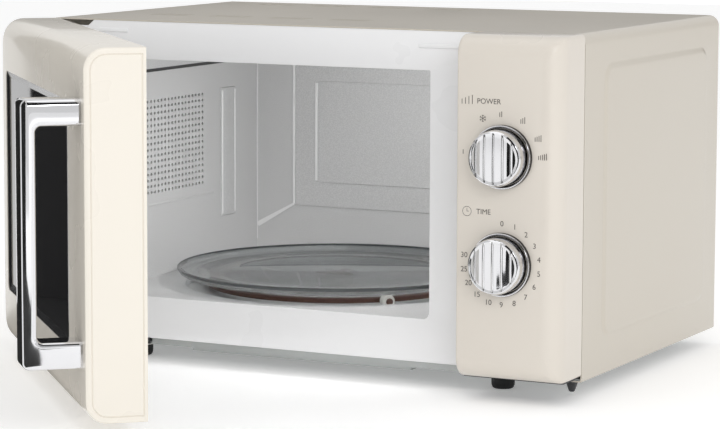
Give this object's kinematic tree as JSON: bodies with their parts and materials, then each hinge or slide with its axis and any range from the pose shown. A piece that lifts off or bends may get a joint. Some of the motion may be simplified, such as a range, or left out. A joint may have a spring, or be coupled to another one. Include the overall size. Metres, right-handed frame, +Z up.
{
  "type": "microwave oven",
  "caption": "Countertop microwave oven: rounded steel cabinet, side-hinged glass door with bar handle, rotary timer and power knobs, glass turntable on a roller ring.",
  "frame": {"origin": "centre of the cabinet's footprint, in the plane of the undersides of the feet", "axes": "+X to the right seen from the front, towards the control panel; +Y towards the back; +Z up"},
  "size_m": [0.4633, 0.5909, 0.2582],
  "materials": {
    "cream_painted_steel": "satin",
    "rear_steel": "satin",
    "galvanised_base": "satin",
    "white_enamel": "satin",
    "cavity_enamel": "speckled satin",
    "mica_sheet": "matt",
    "bare_sheet": "satin",
    "plated_yoke": "satin",
    "fin_aluminium": "satin",
    "core_steel": "varnished",
    "copper_winding": "varnished",
    "black_plastic": "matt",
    "white_plastic": "satin",
    "motor_steel": "satin",
    "bulb_glass": "clear",
    "board_green": "satin",
    "bell_brass": "polished",
    "phenolic_brown": "matt",
    "cream_plastic": "semi-gloss",
    "chrome_trim": "polished",
    "dark_steel": "satin",
    "foot_rubber": "matt",
    "screw_steel": "satin",
    "brown_plastic": "satin",
    "clear_glass": "polished",
    "dark_glass": "polished",
    "black_bezel": "gloss",
    "screen_black": "satin",
    "inner_plastic": "satin",
    "clear_film": "clear",
    "magnet_grey": "sintered"
  },
  "bodies": {
    "chassis": {"outer_cabinet": "cream_painted_steel", "rear_panel": "rear_steel", "base_plate": "galvanised_base", "front_plate": "white_enamel", "cavity_shell": "cavity_enamel", "cavity_left_wall": "cavity_enamel", "cavity_right_wall": "cavity_enamel", "waveguide_cover": "mica_sheet", "waveguide": "bare_sheet", "magnetron_body": "plated_yoke", "magnetron_fins": "fin_aluminium", "transformer_core": "core_steel", "transformer_coils": "copper_winding", "hv_capacitor": "fin_aluminium", "capacitor_bracket": "bare_sheet", "hv_diode": "black_plastic", "fan_shroud": "white_plastic", "fan_motor": "motor_steel", "lamp_holder": "white_plastic", "lamp_bulb": "bulb_glass", "filter_board": "board_green", "filter_choke": "copper_winding", "thermal_cutout": "black_plastic", "turntable_motor": "bare_sheet", "catch_plate": "bare_sheet", "reed_switch": "black_plastic", "timer_unit": "bare_sheet", "timer_bell": "bell_brass", "power_selector": "phenolic_brown", "control_panel": "cream_plastic", "knob_bezels": "chrome_trim", "hinge_upper": "bare_sheet", "hinge_lower": "dark_steel", "rubber_feet": "foot_rubber", "foot_washers": "white_plastic", "corner_peg": "black_plastic", "cord_grommet": "foot_rubber", "cabinet_screws": "screw_steel"},
    "door": {"door_shell": "cream_plastic", "window_glass": "dark_glass", "window_bezel": "black_bezel", "window_trim": "chrome_trim", "door_frame": "white_enamel", "door_screen": "screen_black", "inner_cover": "inner_plastic", "inner_film": "clear_film", "door_magnet": "magnet_grey", "handle": "chrome_trim", "handle_screws": "screw_steel"},
    "coupler": {"turntable_coupler": "brown_plastic"},
    "plate": {"glass_plate": "clear_glass"},
    "ring": {"roller_ring": "brown_plastic"},
    "roller_a": {"roller_1": "white_plastic"},
    "roller_b": {"roller_2": "white_plastic"},
    "roller_c": {"roller_3": "white_plastic"},
    "timer_control": {"timer_knob": "chrome_trim"},
    "power_control": {"power_knob": "chrome_trim"},
    "fan": {"fan_blade": "white_plastic"}
  },
  "joints": [
    {"name": "door_hinge", "type": "hinge", "parent": "chassis", "child": "door", "pos_m": [-0.215, -0.143, 0.0125], "axis": [0, 0, -1], "range_deg": [-48, 42]},
    {"name": "coupler_spin", "type": "hinge", "parent": "chassis", "child": "coupler", "pos_m": [-0.0415, -0.0005, 0.0425], "axis": [0, 0, 1], "continuous": true},
    {"name": "plate_lift", "type": "slide", "parent": "coupler", "child": "plate", "axis": [0, 0, 1], "range_m": [0, 0.12]},
    {"name": "ring_spin", "type": "hinge", "parent": "chassis", "child": "ring", "pos_m": [-0.0415, -0.0005, 0.049], "axis": [0, 0, 1], "continuous": true},
    {"name": "roller_a_spin", "type": "hinge", "parent": "ring", "child": "roller_a", "pos_m": [-0.01721, 0.10473, 0.049], "axis": [0.225, 0.9744, 0], "continuous": true},
    {"name": "roller_b_spin", "type": "hinge", "parent": "ring", "child": "roller_b", "pos_m": [-0.14478, -0.03208, 0.049], "axis": [-0.9563, -0.2924, 0], "continuous": true},
    {"name": "roller_c_spin", "type": "hinge", "parent": "ring", "child": "roller_c", "pos_m": [0.03749, -0.07416, 0.049], "axis": [0.7314, -0.682, 0], "continuous": true},
    {"name": "timer_turn", "type": "hinge", "parent": "chassis", "child": "timer_control", "pos_m": [0.17702, -0.181, 0.09899], "axis": [0, 1, 0], "range_deg": [0, 280]},
    {"name": "power_turn", "type": "hinge", "parent": "chassis", "child": "power_control", "pos_m": [0.17702, -0.181, 0.17395], "axis": [0, 1, 0], "range_deg": [-84, 87]},
    {"name": "fan_spin", "type": "hinge", "parent": "chassis", "child": "fan", "pos_m": [0.1605, 0.108, 0.1955], "axis": [0, 1, 0], "continuous": true}
  ],
  "couplings": [
    {"joint": "ring_spin", "follows": "coupler_spin", "ratio": 0.5},
    {"joint": "roller_a_spin", "follows": "coupler_spin", "ratio": -10.8},
    {"joint": "roller_b_spin", "follows": "coupler_spin", "ratio": -10.8},
    {"joint": "roller_c_spin", "follows": "coupler_spin", "ratio": -10.8}
  ]
}
